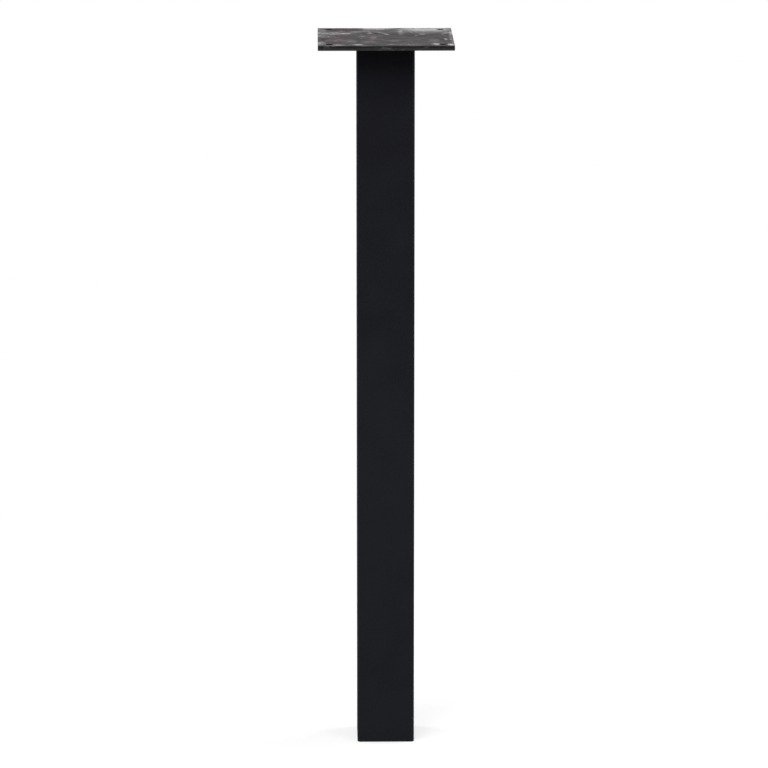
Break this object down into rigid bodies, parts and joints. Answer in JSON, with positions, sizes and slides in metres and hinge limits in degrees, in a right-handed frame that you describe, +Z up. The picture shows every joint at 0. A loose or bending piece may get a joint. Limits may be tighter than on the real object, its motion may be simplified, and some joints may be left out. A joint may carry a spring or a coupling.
{
  "type": "square metal table leg",
  "caption": "Straight square steel table leg with a welded square screw plate on top, corner screw holes and a flush foot plug; black coat, worn bare plate.",
  "frame": {"origin": "middle of the foot's underside, on the floor", "axes": "+Z up along the leg, towards the screw plate; X and Y square to the tube's flats; the front faces -Y"},
  "size_m": [0.14, 0.14, 0.75],
  "materials": {
    "black_coat": "matte powder coat",
    "worn_steel": "dark mill scale, scuffed",
    "black_plastic": "moulded, fine grain"
  },
  "bodies": {
    "root": {"leg_tube": "black_coat", "top_plate": "worn_steel", "weld_front": "black_coat", "weld_right": "black_coat", "weld_back": "black_coat", "weld_left": "black_coat", "foot_plug": "black_plastic"}
  },
  "joints": []
}
